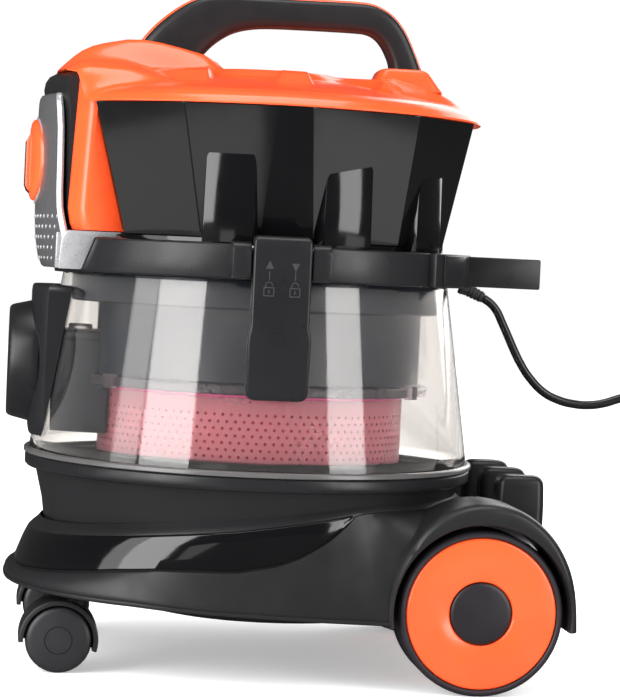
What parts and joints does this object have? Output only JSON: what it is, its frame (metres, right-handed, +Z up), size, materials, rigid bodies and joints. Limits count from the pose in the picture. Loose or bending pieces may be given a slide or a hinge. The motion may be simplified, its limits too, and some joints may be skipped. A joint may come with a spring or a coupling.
{
  "type": "carpet cleaner machine",
  "caption": "Drum carpet cleaner on wheels: clear dirty-water tank with an inlet, lift-off orange and black motor head with carrying handle, side latches, power knob and mains lead.",
  "frame": {"origin": "on the floor under the middle of the machine, without the mains lead", "axes": "+Z up, +X to the rear with the large wheels, -X to the front with the power knob and hose inlet, +Y to the machine's right"},
  "size_m": [0.607, 0.374, 0.524],
  "materials": {
    "satin_black": "satin moulded black plastic with a fine grain",
    "tyre_rubber": "matt dark rubber",
    "orange_plastic": "glossy orange moulded plastic",
    "steel": "plain bright steel",
    "clear_plastic": "clear smoky moulded plastic",
    "frosted_plastic": "frosted clear plastic with a field of small holes",
    "dark_plastic": "dark blue-grey plastic",
    "gloss_black": "high gloss black plastic",
    "grey_panel": "metallic grey painted plastic",
    "silver_trim": "satin silver plated plastic",
    "light_metal": "cast aluminium",
    "filter_felt": "coral pleated filter cloth",
    "pink_plastic": "magenta moulded plastic",
    "pale_plastic": "pale moulded plastic",
    "lead_sheath": "glossy black cable sheath"
  },
  "bodies": {
    "base": {"chassis_shell": "satin_black", "underside_plate": "satin_black", "accessory_peg_left": "satin_black", "accessory_peg_middle": "satin_black", "accessory_peg_right": "satin_black", "rear_axle": "steel", "lower_bowl": "satin_black", "clear_tank": "clear_plastic", "inlet_flange": "satin_black", "inlet_socket": "satin_black", "inlet_baffle": "dark_plastic"},
    "head": {"clamp_band": "satin_black", "cord_hook_left": "satin_black", "cord_hook_right": "satin_black", "latch_pin_left": "steel", "latch_pin_right": "steel", "motor_deck": "satin_black", "head_seal": "tyre_rubber", "head_skirt": "gloss_black", "top_cover": "orange_plastic", "control_housing": "satin_black", "front_panel": "grey_panel", "panel_trim": "silver_trim", "handle_strip": "orange_plastic", "handle_grip": "satin_black", "motor_body": "steel", "separator_housing": "dark_plastic", "filter_basket": "frosted_plastic", "filter_cartridge": "filter_felt", "filter_ring": "pink_plastic", "float_cage": "pale_plastic", "strain_relief": "lead_sheath", "mains_lead": "lead_sheath", "lead_coil": "lead_sheath", "lead_tail": "lead_sheath", "lead_tie": "satin_black", "lead_plug": "lead_sheath"},
    "knob": {"power_knob": "orange_plastic", "knob_shaft": "steel"},
    "fan": {"motor_shaft": "steel", "impeller": "light_metal"},
    "float": {"float_ball": "pale_plastic"},
    "wheel_left": {"tyre_left": "tyre_rubber", "wheel_disc_left": "orange_plastic", "hub_cap_left": "satin_black"},
    "caster_left": {"caster_stem_left": "steel", "caster_hood_left": "satin_black", "caster_axle_left": "steel"},
    "roller_left_left": {"caster_wheel_left_left": "tyre_rubber"},
    "roller_left_right": {"caster_wheel_left_right": "tyre_rubber"},
    "latch_left": {"latch_left": "satin_black"},
    "wheel_right": {"tyre_right": "tyre_rubber", "wheel_disc_right": "orange_plastic", "hub_cap_right": "satin_black"},
    "caster_right": {"caster_stem_right": "steel", "caster_hood_right": "satin_black", "caster_axle_right": "steel"},
    "roller_right_left": {"caster_wheel_right_left": "tyre_rubber"},
    "roller_right_right": {"caster_wheel_right_right": "tyre_rubber"},
    "latch_right": {"latch_right": "satin_black"}
  },
  "joints": [
    {"name": "head_lift", "type": "slide", "parent": "base", "child": "head", "axis": [0, 0, 1], "range_m": [0, 0.2]},
    {"name": "knob_turn", "type": "hinge", "parent": "head", "child": "knob", "pos_m": [-0.1995, 0, 0.387], "axis": [-1, 0, 0], "range_deg": [0, 90]},
    {"name": "fan_spin", "type": "hinge", "parent": "head", "child": "fan", "pos_m": [-0.0215, 0, 0.342], "axis": [0, 0, 1], "continuous": true},
    {"name": "float_rise", "type": "slide", "parent": "head", "child": "float", "axis": [0, 0, 1], "range_m": [0, 0.09]},
    {"name": "wheel_left_spin", "type": "hinge", "parent": "base", "child": "wheel_left", "pos_m": [0.1405, -0.15, 0.062], "axis": [0, 1, 0], "continuous": true},
    {"name": "caster_left_swivel", "type": "hinge", "parent": "base", "child": "caster_left", "pos_m": [-0.1575, -0.095, 0.07], "axis": [0, 0, 1], "continuous": true},
    {"name": "roller_left_left_spin", "type": "hinge", "parent": "caster_left", "child": "roller_left_left", "pos_m": [-0.1695, -0.1065, 0.025], "axis": [0, 1, 0], "continuous": true},
    {"name": "roller_left_right_spin", "type": "hinge", "parent": "caster_left", "child": "roller_left_right", "pos_m": [-0.1695, -0.0835, 0.025], "axis": [0, 1, 0], "continuous": true},
    {"name": "latch_left_open", "type": "hinge", "parent": "head", "child": "latch_left", "pos_m": [-0.0215, -0.176, 0.325], "axis": [-1, 0, 0], "range_deg": [0, 95]},
    {"name": "wheel_right_spin", "type": "hinge", "parent": "base", "child": "wheel_right", "pos_m": [0.1405, 0.15, 0.062], "axis": [0, 1, 0], "continuous": true},
    {"name": "caster_right_swivel", "type": "hinge", "parent": "base", "child": "caster_right", "pos_m": [-0.1575, 0.095, 0.07], "axis": [0, 0, 1], "continuous": true},
    {"name": "roller_right_left_spin", "type": "hinge", "parent": "caster_right", "child": "roller_right_left", "pos_m": [-0.1695, 0.0835, 0.025], "axis": [0, 1, 0], "continuous": true},
    {"name": "roller_right_right_spin", "type": "hinge", "parent": "caster_right", "child": "roller_right_right", "pos_m": [-0.1695, 0.1065, 0.025], "axis": [0, 1, 0], "continuous": true},
    {"name": "latch_right_open", "type": "hinge", "parent": "head", "child": "latch_right", "pos_m": [-0.0215, 0.176, 0.325], "axis": [1, 0, 0], "range_deg": [0, 95]}
  ]
}
